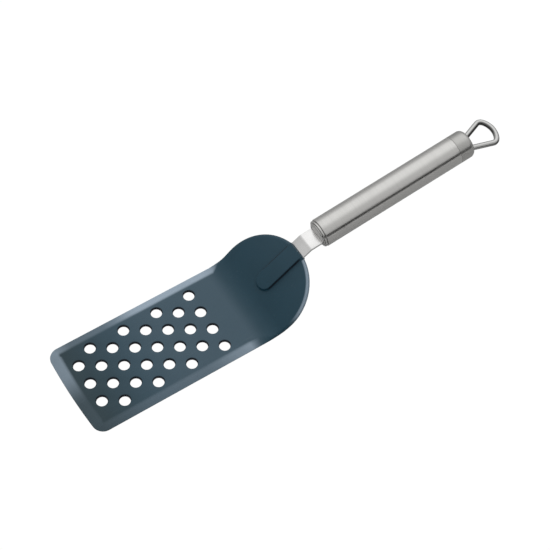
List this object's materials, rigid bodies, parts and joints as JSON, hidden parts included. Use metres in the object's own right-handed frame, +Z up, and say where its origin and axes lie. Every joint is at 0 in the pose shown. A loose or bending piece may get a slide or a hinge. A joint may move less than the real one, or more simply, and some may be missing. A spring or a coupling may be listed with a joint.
{
  "type": "grill spatula",
  "caption": "Long-handled turner with a perforated dark nylon blade, an angled round heel, a bent steel neck, and a round satin steel handle with a hanging loop.",
  "frame": {"origin": "on the flat underside of the blade, in the middle of the perforated field", "axes": "+X from the blade's tip to the hanging loop, +Y across the blade to the left seen from above, +Z up out of the blade's top face"},
  "size_m": [0.3164, 0.067, 0.0588],
  "materials": {
    "slate_nylon": "fine satin moulded nylon, dark slate blue",
    "core_nylon": "plain moulded, hidden in the handle",
    "strip_steel": "smooth satin, nearly polished",
    "satin_steel": "satin, brushed round the circumference",
    "plain_steel": "unfinished, hidden in the handle"
  },
  "bodies": {
    "root": {"blade_head": "slate_nylon", "neck_strip": "strip_steel", "front_cap": "satin_steel", "handle_tube": "satin_steel", "tang_core": "core_nylon", "joint_sleeve": "plain_steel", "rear_cap": "satin_steel", "loop_anchor": "plain_steel", "hang_loop": "strip_steel"}
  },
  "joints": []
}
